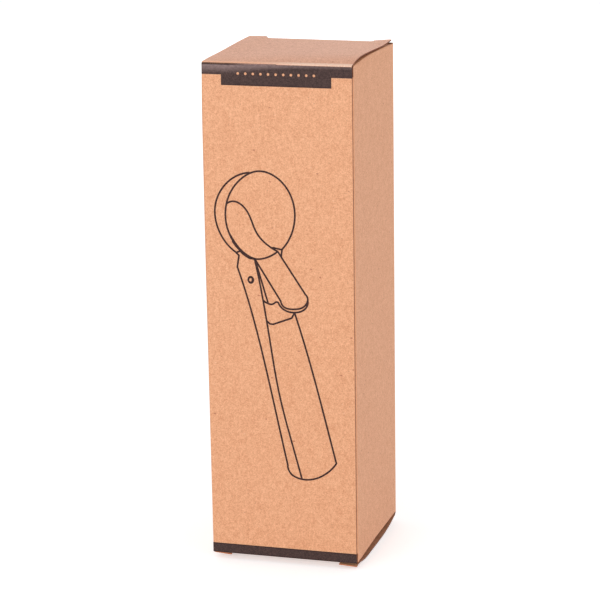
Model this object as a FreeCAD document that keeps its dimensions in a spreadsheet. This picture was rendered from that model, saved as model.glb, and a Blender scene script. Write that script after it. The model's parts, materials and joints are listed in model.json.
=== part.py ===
import FreeCAD, Part
import os
import Sketcher

# A tall kraft board carton with reverse tuck ends.
# One sheet is folded into four panels, with a glue flap behind the front panel's right edge.
# The top lid hinges on the front panel and the bottom lid on the back panel.
# Frame: X to the right across the front, Y from front to back, Z up, origin on the floor below the middle.

SIZES = (
    ("panel_width", 64.0, "outside width of the front and back panels"),
    ("panel_depth", 65.8, "outside width of the side panels"),
    ("panel_height", 210.0, "height from the bottom crease to the top crease"),
    ("board", 0.5, "thickness of the board"),
    ("corner_radius", 0.5, "outside radius of the upright folds"),
    ("crease_gap", 0.1, "room between a lid's rounded crease and the panel it hinges on"),
    ("seam_setback", 0.3, "distance of the front panel's raw edge from the right side's face"),
    ("glue_flap_width", 14.0, "reach of the glue flap behind the front panel"),
    ("glue_flap_margin", 4.0, "distance of the glue flap from the panel's ends"),
    ("glue_flap_taper", 5.0, "height lost at each end of the glue flap towards its tip"),
    ("dust_flap_length", 24.0, "reach of a dust flap from the side panel's face"),
    ("dust_flap_hinge_inset", 1.2, "distance of a dust flap from the wall that carries the lid"),
    ("dust_flap_tuck_inset", 2.6, "distance of a dust flap from the wall that the tongue passes"),
    ("dust_flap_taper", 2.5, "amount by which each edge of a dust flap closes in at its tip"),
    ("dust_flap_corner", 4.0, "corner radius at a dust flap's tip"),
    ("lid_side_gap", 0.5, "distance of a lid's edge from the side panel's outer face"),
    ("slit_length", 8.0, "length of the lock slits at both ends of a tuck fold"),
    ("fold_radius", 0.6, "radius of a tuck fold at the middle of the board"),
    ("top_ear_reach", 1.2, "length of the top lid's ears beyond the start of its tuck fold"),
    ("top_ear_lift", 22.0, "angle by which the top lid's ears curl up"),
    ("bottom_ear_reach", 2.0, "length of the bottom lid's ears beyond the start of its tuck fold"),
    ("bottom_ear_lift", 32.0, "angle by which the bottom lid's ears curl down"),
    ("tongue_length", 15.0, "depth of a tongue's tip below its crease"),
    ("tongue_lean", 7.5, "angle by which a tongue leans into the carton"),
    ("tongue_gap", 0.15, "room between a tongue's fold and the wall that it slides along"),
    ("tongue_side_gap", 1.0, "room between a tongue's shoulder and the side panel"),
    ("tongue_taper", 1.5, "amount by which each side of a tongue closes in at its tip"),
    ("tongue_corner", 7.0, "corner radius at a tongue's tip"),
    ("top_crest_start", 15.5, "distance from the top crease to the crown of the top lid"),
    ("top_crest_length", 3.0, "length of the level stretch on that crown"),
    ("top_left_rise", 0.45, "height of that crown over the crease at the lid's left edge"),
    ("top_right_rise", 1.85, "height of that crown over the crease at the lid's right edge"),
    ("top_fold_rise", 0.35, "height of the top lid's tuck fold over the crease"),
    ("bottom_crest_start", 26.0, "distance from the bottom crease to the level foot of the bottom lid"),
    ("bottom_crest_length", 21.0, "length of that level foot"),
    ("bottom_left_rise", 2.5, "depth of that foot below the crease at the lid's left edge"),
    ("bottom_right_rise", 2.5, "depth of that foot below the crease at the lid's right edge"),
    ("bottom_fold_rise", 0.1, "depth of the bottom lid's tuck fold below the crease"),
    ("ink", 0.04, "thickness of the printed colour"),
    ("top_band_drop", 4.45, "height of the printed band at the top"),
    ("tab_width", 46.4, "width of the tab that hangs from the top band"),
    ("tab_drop", 4.3, "height of that tab"),
    ("tab_shift", 0.2, "distance of the tab's middle to the left of the panel's middle"),
    ("dot_size", 1.1, "diameter of the round openings in the tab"),
    ("dot_pitch", 3.2, "distance from one opening to the next"),
    ("dot_drop", 3.9, "distance of the openings below the panel's top edge"),
    ("bottom_band_height", 4.15, "height of the printed band at the bottom"),
    ("band_margin", 0.05, "bare strip between a band and the end of the panel"),
    ("line_weight", 0.76, "width of the drawn lines"),
    ("figure_height", 130.6, "height of the drawn figure"),
    ("figure_base", 35.3, "height of the figure's foot over the bottom crease"),
    ("figure_shift", 0.3, "distance of the figure to the right of the panel's middle"),
)

DOT_COUNT = 11

# The drawn figure, in millimetres to the right of the panel's middle and above the figure's foot.
DRAWN_HEIGHT = 130.6
CURVES = (
    ("front_rim", (0.9, 98.3), (5.9, 107.4), (6.2, 117.3), (0.6, 127.1), (-8.2, 130.6), (-17.3, 125.9),
     (-22.7, 115.7), (-22.3, 105.9), (-16.6, 96.8), (-10.9, 93.8), (-5.6, 94.6), (-0.9, 97.4)),
    ("back_rim", (-12.6, 129.8), (-21.6, 125.7), (-27.4, 115.4), (-25.5, 103.8), (-18.8, 96.1)),
    ("rim_edge", (-20.2, 100.6), (-16.2, 96.3), (-10.9, 93.5)),
    ("scraper", (-22.6, 116.3), (-18.8, 117.5), (-14.5, 114.7), (-9.7, 104.6), (-4.4, 99.3), (-0.9, 97.4)),
    ("lever_end", (0.0, 76.5), (1.6, 73.9), (5.6, 73.3), (9.6, 74.4), (11.6, 77.6), (10.6, 79.9)),
    ("lever_edge", (11.6, 77.6), (10.3, 73.6), (5.3, 71.9), (1.5, 72.8), (-0.9, 75.5)),
    ("lever_catch", (-0.9, 75.5), (-1.9, 76.0), (-3.2, 75.1), (-5.0, 75.0), (-7.6, 76.6)),
    ("grip_left", (-18.4, 90.0), (-13.6, 74.7), (-6.3, 44.7), (-0.2, 15.7), (1.9, 5.9)),
    ("grip_foot", (1.9, 5.9), (3.4, 2.0), (9.2, 0.0), (16.9, 2.2), (23.0, 8.1)),
    ("grip_middle", (-10.9, 93.7), (-7.6, 76.6), (-5.0, 59.7), (-1.0, 35.2), (4.0, 15.2), (8.0, 0.2)),
    ("grip_right", (5.9, 71.8), (13.8, 44.7), (19.8, 21.0), (23.0, 8.1)),
)
STRAIGHTS = (
    ("neck_left", (-16.8, 96.9), (-18.8, 96.0), (-17.6, 94.9), (-18.4, 90.0)),
    ("neck_right", (-2.9, 98.9), (0.9, 98.2), (0.6, 95.3)),
    ("spring", (-10.6, 93.2), (-5.4, 75.2)),
    ("lever_left", (-10.7, 93.6), (0.0, 76.5)),
    ("lever_right", (10.6, 79.9), (0.9, 94.6), (-0.9, 97.4)),
    ("grip_top", (-5.9, 67.5), (-4.8, 66.5), (-3.4, 66.4), (4.6, 69.5), (5.9, 71.8)),
)
STATIONS_PER_POINT = 3
RIVET_PLACE = (-12.7, 84.8)
RIVET_RADIUS = 1.1

doc = FreeCAD.newDocument("carton")
sheet = doc.addObject("Spreadsheet::Sheet", "Sizes")
for row, (alias, size, meaning) in enumerate(SIZES, start=1):
    sheet.set(f"A{row}", meaning)
    sheet.set(f"B{row}", str(size))
    sheet.setAlias(f"B{row}", alias)
doc.recompute()

# Places that several sub-parts share, worked out from the driving dimensions.
HALF_WIDTH = "Sizes.panel_width / 2"
HALF_DEPTH = "Sizes.panel_depth / 2"
BOTTOM_CREASE = "(max(Sizes.bottom_left_rise; Sizes.bottom_right_rise) + Sizes.board / 2)"
TOP_CREASE = f"({BOTTOM_CREASE} + Sizes.panel_height)"
WALL_FOOT = f"({BOTTOM_CREASE} + Sizes.board / 2 + Sizes.crease_gap)"
WALL_HEIGHT = "(Sizes.panel_height - Sizes.board - 2 * Sizes.crease_gap)"
WALL_TOP = f"({WALL_FOOT} + {WALL_HEIGHT})"
RAW_EDGE_REACH = "(Sizes.board / 2 + Sizes.crease_gap)"
LID_WIDTH = "(Sizes.panel_width - 2 * Sizes.lid_side_gap)"
TONGUE_WIDTH = "(Sizes.panel_width - 2 * Sizes.board - 2 * Sizes.tongue_side_gap)"


def value(expression):
    """The number that an expression on the sheet stands for."""
    return float(sheet.evalExpression(expression))


def pin(sketch, geometry, point, across, up):
    """Tie one point of a sketch to two expressions."""
    for kind, expression in (("DistanceX", across), ("DistanceY", up)):
        if expression is None:
            continue
        number = sketch.addConstraint(Sketcher.Constraint(kind, -1, 1, geometry, point, value(expression)))
        sketch.setExpression(f"Constraints[{number}]", expression)


def outline(sketch, corners):
    """Draw a closed outline whose corners are pairs of expressions."""
    spots = [FreeCAD.Vector(value(across), value(up), 0) for across, up in corners]
    first = sketch.GeometryCount
    for index, spot in enumerate(spots):
        sketch.addGeometry(Part.LineSegment(spot, spots[(index + 1) % len(spots)]), False)
    for index, (across, up) in enumerate(corners):
        following = first + (index + 1) % len(corners)
        sketch.addConstraint(Sketcher.Constraint("Coincident", first + index, 2, following, 1))
        pin(sketch, first + index, 1, across, up)


def line(sketch, start, end):
    """Draw a straight line between two pairs of expressions."""
    spots = [FreeCAD.Vector(value(across), value(up), 0) for across, up in (start, end)]
    number = sketch.addGeometry(Part.LineSegment(*spots), False)
    pin(sketch, number, 1, *start)
    pin(sketch, number, 2, *end)
    return number


def arc(sketch, centre, start, end, centre_up=None):
    """Draw an arc, anticlockwise from start to end; the centre's height may follow from the ends."""
    first = FreeCAD.Vector(value(start[0]), value(start[1]), 0)
    last = FreeCAD.Vector(value(end[0]), value(end[1]), 0)
    across = value(centre)
    if centre_up is None:
        # The end level with the centre line is the crown; the other end fixes the radius.
        crown, foot = (first, last) if abs(first.x - across) < abs(last.x - across) else (last, first)
        run, drop = foot.x - crown.x, crown.y - foot.y
        radius = (run * run + drop * drop) / (2 * drop)
        middle = FreeCAD.Vector(across, crown.y - radius, 0)
    else:
        middle = FreeCAD.Vector(across, value(centre_up), 0)
        radius = (last - middle).Length
    from_angle = FreeCAD.Vector(1, 0, 0).getAngle(first - middle)
    to_angle = FreeCAD.Vector(1, 0, 0).getAngle(last - middle)
    if first.y < middle.y:
        from_angle = -from_angle
    circle = Part.Circle(middle, FreeCAD.Vector(0, 0, 1), radius)
    number = sketch.addGeometry(Part.ArcOfCircle(circle, from_angle, to_angle), False)
    pin(sketch, number, 1, *start)
    pin(sketch, number, 2, *end)
    return number


def plane(body, role):
    """One of the origin planes of a body."""
    return next(feature for feature in body.Origin.OriginFeatures if feature.Role == role)


def face_sketch(body, name, role, offset):
    """A sketch on an origin plane of a body, moved along its normal by an expression."""
    sketch = body.newObject("Sketcher::SketchObject", name)
    sketch.AttachmentSupport = [(plane(body, role), "")]
    sketch.MapMode = "FlatFace"
    sketch.setExpression("AttachmentOffset.Base.z", offset)
    return sketch


def pad(body, name, sketch, length, backwards=False):
    """Raise a sketch by an expression."""
    feature = body.newObject("PartDesign::Pad", name)
    feature.Profile = sketch
    feature.Reversed = backwards
    feature.setExpression("Length", length)
    doc.recompute()
    return feature


def pocket(body, name, sketch, length, backwards=False):
    """Cut a sketch away to the depth of an expression."""
    feature = body.newObject("PartDesign::Pocket", name)
    feature.Profile = sketch
    feature.Reversed = backwards
    feature.setExpression("Length", length)
    doc.recompute()
    return feature


def round_edges(body, name, base, radius, chosen):
    """Round the edges of a feature whose middles the function picks."""
    names = [
        f"Edge{index}"
        for index, edge in enumerate(base.Shape.Edges, start=1)
        if chosen(edge, edge.CenterOfGravity)
    ]
    feature = body.newObject("PartDesign::Fillet", name)
    feature.Base = (base, names)
    feature.setExpression("Radius", radius)
    doc.recompute()
    return feature


def upright(edge):
    """Whether an edge runs straight up."""
    return isinstance(edge.Curve, Part.Line) and abs(edge.tangentAt(edge.FirstParameter).z) > 0.999


def near(first, second):
    """Whether two lengths agree closely."""
    return abs(first - second) < 1e-4


def make_sleeve():
    """Four panels round the carton, the glue flap and the four dust flaps."""
    body = doc.addObject("PartDesign::Body", "carton_sleeve")
    walls = face_sketch(body, "wall_plan", "XY_Plane", WALL_FOOT)
    for inset in ("0", "Sizes.board"):
        across = f"({HALF_WIDTH} - {inset})"
        along = f"({HALF_DEPTH} - {inset})"
        outline(walls, ((f"-{across}", f"-{along}"), (across, f"-{along}"),
                        (across, along), (f"-{across}", along)))
    tube = pad(body, "walls", walls, WALL_HEIGHT)

    seam = face_sketch(body, "seam_plan", "XY_Plane", WALL_FOOT)
    raw_edge = f"{HALF_WIDTH} - Sizes.seam_setback"
    outside = f"{HALF_WIDTH} + Sizes.board"
    seam_front = f"-{HALF_DEPTH} - Sizes.board"
    seam_back = f"-{HALF_DEPTH} + Sizes.board"
    outline(seam, ((raw_edge, seam_front), (outside, seam_front),
                   (outside, seam_back), (raw_edge, seam_back)))
    tube = pocket(body, "seam", seam, WALL_HEIGHT, backwards=True)

    flap = face_sketch(body, "glue_flap_outline", "XZ_Plane", f"{HALF_DEPTH} - Sizes.board")
    fold = f"{HALF_WIDTH} - Sizes.board / 2"
    tip = f"{HALF_WIDTH} - Sizes.board - Sizes.glue_flap_width"
    low = f"{WALL_FOOT} + Sizes.glue_flap_margin"
    high = f"{WALL_TOP} - Sizes.glue_flap_margin"
    outline(flap, ((tip, f"{low} + Sizes.glue_flap_taper"), (fold, low),
                   (fold, high), (tip, f"{high} - Sizes.glue_flap_taper")))
    tube = pad(body, "glue_flap", flap, "Sizes.board", backwards=True)

    for end, level, turn in (("top", f"{WALL_TOP} - Sizes.board", ""), ("bottom", WALL_FOOT, "-")):
        for side, sign in (("right", ""), ("left", "-")):
            name = f"{end}_{side}_dust_flap"
            sketch = face_sketch(body, f"{name}_outline", "XY_Plane", level)
            fold = f"{sign}({HALF_WIDTH} - Sizes.board / 2)"
            tip = f"{sign}({HALF_WIDTH} - Sizes.dust_flap_length)"
            hinge = f"(-{HALF_DEPTH} + Sizes.board + Sizes.dust_flap_hinge_inset"
            tuck = f"({HALF_DEPTH} - Sizes.board - Sizes.dust_flap_tuck_inset"
            taper = "Sizes.dust_flap_taper"
            outline(sketch, ((fold, f"{turn}{hinge})"), (tip, f"{turn}{hinge} + {taper})"),
                             (tip, f"{turn}{tuck} - {taper})"), (fold, f"{turn}{tuck})")))
            tube = pad(body, name, sketch, "Sizes.board")

    tip_place = value(f"{HALF_WIDTH} - Sizes.dust_flap_length")
    tube = round_edges(body, "dust_flap_corners", tube, "Sizes.dust_flap_corner",
                       lambda edge, middle: upright(edge) and near(abs(middle.x), tip_place)
                       and edge.Length < 2 * value("Sizes.board"))
    half_width = value(HALF_WIDTH)
    half_depth = value(HALF_DEPTH)
    seam_depth = half_depth - value("Sizes.board")
    tube = round_edges(body, "upright_folds", tube, "Sizes.corner_radius",
                       lambda edge, middle: upright(edge) and near(abs(middle.x), half_width)
                       and near(abs(middle.y), half_depth))
    tube = round_edges(body, "seam_fold", tube, "Sizes.seam_setback / 2",
                       lambda edge, middle: upright(edge) and near(middle.x, half_width)
                       and near(middle.y, -seam_depth))

    # The two walls that a tongue passes end in a raw edge, level with the crease of the wall opposite.
    for end, level, along in (("front_foot", BOTTOM_CREASE, f"-{HALF_DEPTH}"),
                              ("back_top", WALL_TOP, f"{HALF_DEPTH} - Sizes.board")):
        edge = face_sketch(body, f"{end}_plan", "XY_Plane", level)
        left = f"-{HALF_WIDTH} + Sizes.corner_radius"
        right = f"{HALF_WIDTH} - Sizes.corner_radius"
        outline(edge, ((left, along), (right, along),
                       (right, f"{along} + Sizes.board"), (left, f"{along} + Sizes.board")))
        pad(body, f"{end}_edge", edge, RAW_EDGE_REACH)
    return body


def board_section(name, path):
    """The section of a strip of board whose middle follows a path."""
    section = doc.addObject("Part::Offset2D", f"{name}_section")
    section.Source = path
    section.Mode = "Pipe"
    section.Fill = True
    section.setExpression("Value", "Sizes.board / 2")
    return section


def bent_sheet(name, path, width):
    """A strip of board that follows a path across the carton."""
    strip = doc.addObject("Part::Extrusion", name)
    strip.Base = board_section(name, path)
    strip.DirMode = "Custom"
    strip.Dir = FreeCAD.Vector(1, 0, 0)
    strip.Symmetric = True
    strip.Solid = True
    strip.setExpression("LengthFwd", width)
    return strip


def path_sketch(name, placement, depth, level, across="0"):
    """A sketch along a lid, with its origin on the crease."""
    sketch = doc.addObject("Sketcher::SketchObject", name)
    sketch.Placement = placement
    sketch.setExpression("Placement.Base.x", across)
    sketch.setExpression("Placement.Base.y", depth)
    sketch.setExpression("Placement.Base.z", level)
    return sketch


def make_lid(end, turned, depth, level, thicknesses):
    """A bowed lid with its crease, tuck fold, tongue and ears, for a tuck wall of so many thicknesses."""
    size = f"Sizes.{end}"
    reach = (f"(Sizes.panel_depth - Sizes.board - {thicknesses} * Sizes.board"
             " - Sizes.tongue_gap - Sizes.fold_radius)")
    crest_start = f"{size}_crest_start"
    crest_end = f"({size}_crest_start + {size}_crest_length)"
    fold_start = (reach, f"{size}_fold_rise")

    ear_end = (f"{reach} + {size}_ear_reach * cos({size}_ear_lift)",
               f"{size}_fold_rise + {size}_ear_reach * sin({size}_ear_lift)")
    sheet_with_ears = doc.addObject("Part::Loft", f"{end}_panel")
    sections = []
    for side, sign in (("left", "-"), ("right", "")):
        crown = f"{size}_{side}_rise"
        path = path_sketch(f"{end}_{side}_path", turned, depth, level, f"{sign}{LID_WIDTH} / 2")
        arc(path, crest_start, (crest_start, crown), ("0", "0"))
        line(path, (crest_start, crown), (crest_end, crown))
        arc(path, crest_end, fold_start, (crest_end, crown))
        line(path, fold_start, ear_end)
        sections.append(board_section(f"{end}_{side}", path))
    sheet_with_ears.Sections = sections
    sheet_with_ears.Solid = True
    sheet_with_ears.Ruled = True
    neck = f"({LID_WIDTH} / 2 - Sizes.slit_length)"
    between = doc.addObject("Part::Box", f"{end}_between_ears")
    between.setExpression("Length", f"2 * {neck}")
    between.setExpression("Width", "Sizes.tongue_length")
    between.setExpression("Height", "2 * Sizes.tongue_length")
    between.setExpression("Placement.Base.x", f"-{neck}")
    between.setExpression("Placement.Base.y", f"{depth} + {reach}" if end == "top"
                          else f"{depth} - {reach} - Sizes.tongue_length")
    between.setExpression("Placement.Base.z", f"{level} - Sizes.tongue_length")
    panel = doc.addObject("Part::Cut", f"{end}_panel_and_ears")
    panel.Base = sheet_with_ears
    panel.Tool = between

    fold_middle = f"({size}_fold_rise - Sizes.fold_radius)"
    shoulder = f"({fold_middle} - Sizes.fold_radius * sin(Sizes.tongue_lean))"
    fold_end = (f"{reach} + Sizes.fold_radius * cos(Sizes.tongue_lean)", shoulder)
    blank_length = "(Sizes.tongue_length + Sizes.board)"
    tuck_path = path_sketch(f"{end}_tuck_path", turned, depth, level)
    arc(tuck_path, reach, fold_end, fold_start, centre_up=fold_middle)
    line(tuck_path, fold_end,
         (f"{fold_end[0]} - {blank_length} * sin(Sizes.tongue_lean)",
          f"{shoulder} - {blank_length} * cos(Sizes.tongue_lean)"))
    tuck = doc.addObject("Part::Common", f"{end}_tuck")
    tuck.Base = bent_sheet(f"{end}_tuck_blank", tuck_path, TONGUE_WIDTH)
    tuck.Tool = tuck_outline(end, level, neck, shoulder)

    lid = doc.addObject("Part::MultiFuse", f"{end}_lid")
    lid.Shapes = [panel, tuck]
    doc.recompute()
    return lid


def tuck_outline(end, level, neck, shoulder):
    """A block as wide as the tuck fold at its neck and as the tongue below its shoulders."""
    sketch = doc.addObject("Sketcher::SketchObject", f"{end}_tuck_outline")
    upside_down = 180 if end == "bottom" else 0
    sketch.Placement = FreeCAD.Placement(
        FreeCAD.Vector(0, 0, 0),
        FreeCAD.Rotation(FreeCAD.Vector(1, 0, 0), 90 + upside_down))
    sketch.setExpression("Placement.Base.z", level)
    half = f"({TONGUE_WIDTH} / 2)"
    tip = f"({TONGUE_WIDTH} / 2 - Sizes.tongue_taper)"
    over_fold = "Sizes.tongue_length"
    outline(sketch, ((f"-{neck}", over_fold), (f"-{neck}", shoulder), (f"-{half}", shoulder),
                     (f"-{tip}", "-Sizes.tongue_length"), (tip, "-Sizes.tongue_length"),
                     (half, shoulder), (neck, shoulder), (neck, over_fold)))
    block = doc.addObject("Part::Extrusion", f"{end}_tuck_block")
    block.Base = sketch
    block.DirMode = "Custom"
    block.Dir = FreeCAD.Vector(0, 1, 0)
    block.Symmetric = True
    block.Solid = True
    block.setExpression("LengthFwd", "2 * Sizes.panel_depth")
    doc.recompute()
    inwards = "+" if end == "bottom" else "-"
    tip_level = value(f"{level} {inwards} Sizes.tongue_length")
    rounded = doc.addObject("Part::Fillet", f"{end}_tongue_corners")
    rounded.Base = block
    rounded.Edges = [
        (index, value("Sizes.tongue_corner"), value("Sizes.tongue_corner"))
        for index, edge in enumerate(block.Shape.Edges, start=1)
        if abs(edge.tangentAt(edge.FirstParameter).y) > 0.999 and near(edge.CenterOfGravity.z, tip_level)
    ]
    return rounded


def make_bands():
    """The printed bands at both ends of the front panel; the top one has a tab with round openings."""
    left = f"-{HALF_WIDTH} + Sizes.corner_radius"
    right = f"{HALF_WIDTH} - Sizes.seam_setback"
    high = f"({WALL_TOP} - Sizes.band_margin)"
    step = f"({high} - Sizes.top_band_drop)"
    tab_foot = f"({step} - Sizes.tab_drop)"
    tab_left = "(-Sizes.tab_width / 2 - Sizes.tab_shift)"
    tab_right = "(Sizes.tab_width / 2 - Sizes.tab_shift)"

    top = doc.addObject("PartDesign::Body", "top_band_print")
    shape = face_sketch(top, "top_band_outline", "XZ_Plane", HALF_DEPTH)
    outline(shape, ((left, high), (left, step), (tab_left, step), (tab_left, tab_foot),
                    (tab_right, tab_foot), (tab_right, step), (right, step), (right, high)))
    pad(top, "top_band_ink", shape, "Sizes.ink")
    dot = face_sketch(top, "dot_outline", "XZ_Plane", HALF_DEPTH)
    across = f"-{DOT_COUNT - 1} / 2 * Sizes.dot_pitch - Sizes.tab_shift"
    up = f"{WALL_TOP} - Sizes.dot_drop"
    middle = FreeCAD.Vector(value(across), value(up), 0)
    circle = Part.Circle(middle, FreeCAD.Vector(0, 0, 1), value("Sizes.dot_size / 2"))
    number = dot.addGeometry(circle, False)
    pin(dot, number, 3, across, up)
    size = dot.addConstraint(Sketcher.Constraint("Diameter", number, value("Sizes.dot_size")))
    dot.setExpression(f"Constraints[{size}]", "Sizes.dot_size")
    opening = pocket(top, "dot_opening", dot, "Sizes.ink", backwards=True)
    row = top.newObject("PartDesign::LinearPattern", "dot_row")
    row.Originals = [opening]
    row.Direction = (dot, ["H_Axis"])
    row.Occurrences = DOT_COUNT
    row.setExpression("Length", f"{DOT_COUNT - 1} * Sizes.dot_pitch")
    top.Tip = row
    doc.recompute()

    bottom = doc.addObject("PartDesign::Body", "bottom_band_print")
    low = f"({BOTTOM_CREASE} + Sizes.band_margin)"
    shape = face_sketch(bottom, "bottom_band_outline", "XZ_Plane", HALF_DEPTH)
    outline(shape, ((left, low), (right, low), (right, f"{low} + Sizes.bottom_band_height"),
                    (left, f"{low} + Sizes.bottom_band_height")))
    pad(bottom, "bottom_band_ink", shape, "Sizes.ink")
    return top, bottom


def pen_stroke(sketch, points):
    """Draw the outline of a pen stroke through the points: two sides and two round ends."""
    half = value("Sizes.line_weight") / 2
    if len(points) == 2:
        path = Part.LineSegment(*points)
        stations = (path.FirstParameter, path.LastParameter)
    else:
        path = Part.BSplineCurve()
        path.interpolate(points)
        steps = STATIONS_PER_POINT * (len(points) - 1)
        span = path.LastParameter - path.FirstParameter
        stations = [path.FirstParameter + span * step / steps for step in range(steps + 1)]
    sides = []
    for side in (half, -half):
        spots = []
        for station in stations:
            along = path.tangent(station)[0]
            spots.append(path.value(station) + FreeCAD.Vector(-along.y, along.x, 0) * side)
        sides.append(spots)
        if len(spots) == 2:
            sketch.addGeometry(Part.LineSegment(*spots), False)
        else:
            edge = Part.BSplineCurve()
            edge.interpolate(spots)
            sketch.addGeometry(edge, False)
    left, right = sides
    for station, sign, index in ((stations[0], -1, 0), (stations[-1], 1, -1)):
        cap = path.value(station) + path.tangent(station)[0] * half * sign
        sketch.addGeometry(Part.Arc(left[index], cap, right[index]), False)


def make_figure():
    """The line drawing on the front panel, one pen stroke after another."""
    scale = value("Sizes.figure_height") / DRAWN_HEIGHT
    quarter_turn = FreeCAD.Rotation(FreeCAD.Vector(1, 0, 0), 90)
    upright_plane = FreeCAD.Placement(FreeCAD.Vector(0, 0, 0), quarter_turn)
    strokes = []

    def stroke_sketch(name):
        sketch = doc.addObject("Sketcher::SketchObject", f"{name}_line")
        sketch.Placement = upright_plane
        sketch.setExpression("Placement.Base.x", "Sizes.figure_shift")
        sketch.setExpression("Placement.Base.y", f"-{HALF_DEPTH}")
        sketch.setExpression("Placement.Base.z", f"{BOTTOM_CREASE} + Sizes.figure_base")
        stroke = doc.addObject("Part::Extrusion", f"{name}_stroke")
        stroke.Base = sketch
        stroke.DirMode = "Custom"
        stroke.Dir = FreeCAD.Vector(0, -1, 0)
        stroke.Solid = True
        stroke.setExpression("LengthFwd", "Sizes.ink")
        strokes.append(stroke)
        return sketch

    for name, *points in CURVES:
        pen_stroke(stroke_sketch(name), [FreeCAD.Vector(across, up, 0) * scale for across, up in points])
    for name, *points in STRAIGHTS:
        spots = [FreeCAD.Vector(across, up, 0) * scale for across, up in points]
        for number, ends in enumerate(zip(spots, spots[1:]), start=1):
            pen_stroke(stroke_sketch(f"{name}_{number}"), ends)

    rivet = stroke_sketch("rivet")
    middle = FreeCAD.Vector(*RIVET_PLACE, 0) * scale
    for side in (1, -1):
        radius = RIVET_RADIUS * scale + side * value("Sizes.line_weight") / 2
        rivet.addGeometry(Part.Circle(middle, FreeCAD.Vector(0, 0, 1), radius), False)

    figure = doc.addObject("Part::MultiFuse", "scoop_outline_print")
    figure.Shapes = strokes
    doc.recompute()
    return figure


def check():
    """Stop on any object that failed and on any sub-part without a sound shape."""
    for item in doc.Objects:
        if "Invalid" in item.State or "Error" in item.State:
            raise RuntimeError(f"{item.Label} failed: {item.State}")
    for part in parts:
        if part.Shape.isNull() or not part.Shape.isValid() or not part.Shape.Solids:
            raise RuntimeError(f"{part.Label} has no sound shape")


ALONG_TOP = FreeCAD.Placement(FreeCAD.Vector(0, 0, 0), FreeCAD.Rotation(FreeCAD.Vector(1, 1, 1), 120))
ALONG_BOTTOM = FreeCAD.Placement(
    FreeCAD.Vector(0, 0, 0),
    FreeCAD.Rotation(FreeCAD.Vector(1, 0, 0), 180).multiply(ALONG_TOP.Rotation))

top_band, bottom_band = make_bands()
parts = [
    make_sleeve(),
    make_lid("top", ALONG_TOP, f"-{HALF_DEPTH} + Sizes.board / 2", TOP_CREASE, 1),
    make_lid("bottom", ALONG_BOTTOM, f"{HALF_DEPTH} - Sizes.board / 2", BOTTOM_CREASE, 2),
    top_band,
    bottom_band,
    make_figure(),
]
doc.recompute()
check()
os.makedirs("parts", exist_ok=True)
for part in parts:
    part.Shape.exportStep(f"parts/{part.Label}.step")
    box = part.Shape.BoundBox
    print(part.Label, len(part.Shape.Solids), "solid", round(part.Shape.Volume, 2), "mm3",
          [round(number, 3) for number in (box.XMin, box.YMin, box.ZMin, box.XMax, box.YMax, box.ZMax)])
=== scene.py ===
import json
import math

import bmesh
import bpy
from mathutils import Matrix, Vector

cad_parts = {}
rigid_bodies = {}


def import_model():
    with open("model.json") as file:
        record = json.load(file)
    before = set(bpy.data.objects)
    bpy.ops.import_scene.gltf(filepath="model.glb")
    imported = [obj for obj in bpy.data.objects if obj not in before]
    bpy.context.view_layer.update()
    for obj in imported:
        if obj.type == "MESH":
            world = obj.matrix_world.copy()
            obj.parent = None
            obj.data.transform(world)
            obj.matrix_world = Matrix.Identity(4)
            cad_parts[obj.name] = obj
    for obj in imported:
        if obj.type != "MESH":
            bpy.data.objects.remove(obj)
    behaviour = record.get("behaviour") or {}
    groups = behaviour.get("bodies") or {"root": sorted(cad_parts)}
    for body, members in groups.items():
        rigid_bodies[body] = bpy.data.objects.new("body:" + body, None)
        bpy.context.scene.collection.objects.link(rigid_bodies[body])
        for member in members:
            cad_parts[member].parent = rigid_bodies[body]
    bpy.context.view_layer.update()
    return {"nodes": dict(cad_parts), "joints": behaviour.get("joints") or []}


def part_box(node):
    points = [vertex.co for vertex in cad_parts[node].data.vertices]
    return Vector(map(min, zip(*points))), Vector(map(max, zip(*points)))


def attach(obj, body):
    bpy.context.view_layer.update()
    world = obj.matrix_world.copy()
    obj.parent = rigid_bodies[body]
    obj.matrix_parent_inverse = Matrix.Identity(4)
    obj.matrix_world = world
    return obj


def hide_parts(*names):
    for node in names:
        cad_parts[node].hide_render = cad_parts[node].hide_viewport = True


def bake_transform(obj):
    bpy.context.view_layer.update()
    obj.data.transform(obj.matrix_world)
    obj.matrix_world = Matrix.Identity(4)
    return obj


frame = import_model()

# Lengths are in millimetres along the frame's own axes; each mesh is scaled to metres when it is finished.
MM = 0.001


def node_box(name):
    """The lowest and highest corners of a node, in millimetres."""
    low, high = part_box(name)
    return low / MM, high / MM


def hinge(name):
    """A point on the axis of a joint, in millimetres."""
    joint = next(joint for joint in frame["joints"] if joint["name"] == name)
    return Vector(joint["pos_m"]) / MM


SLEEVE_LOW, SLEEVE_HIGH = node_box("carton_sleeve")
TOP_BAND_LOW, TOP_BAND_HIGH = node_box("top_band_print")
BOTTOM_BAND_LOW, BOTTOM_BAND_HIGH = node_box("bottom_band_print")
LID_HALF_WIDTH = node_box("top_lid")[1].x

# Two places count as one within NEAR, and a cut takes a corner as lying on it within CLOSE.
NEAR = 1e-3
CLOSE = 1e-4
FOLD_SEGMENTS = 4
CORNER_SEGMENTS = 6
SHARP_ANGLE = math.radians(35)

# The sleeve: its board, its upright folds, and the room that a lid's rounded crease takes from a wall.
BOARD = 0.5
HALF_WIDTH = SLEEVE_HIGH.x
HALF_DEPTH = SLEEVE_HIGH.y
SEAM_SETBACK = 0.3
SEAM_FRONT = -HALF_DEPTH + BOARD
CORNER_RADIUS = 0.5
CREASE_ROOM = 0.35
WALL_FOOT = SLEEVE_LOW.z + CREASE_ROOM
WALL_TOP = SLEEVE_HIGH.z - CREASE_ROOM
PANEL_STEP = 8.0

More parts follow.
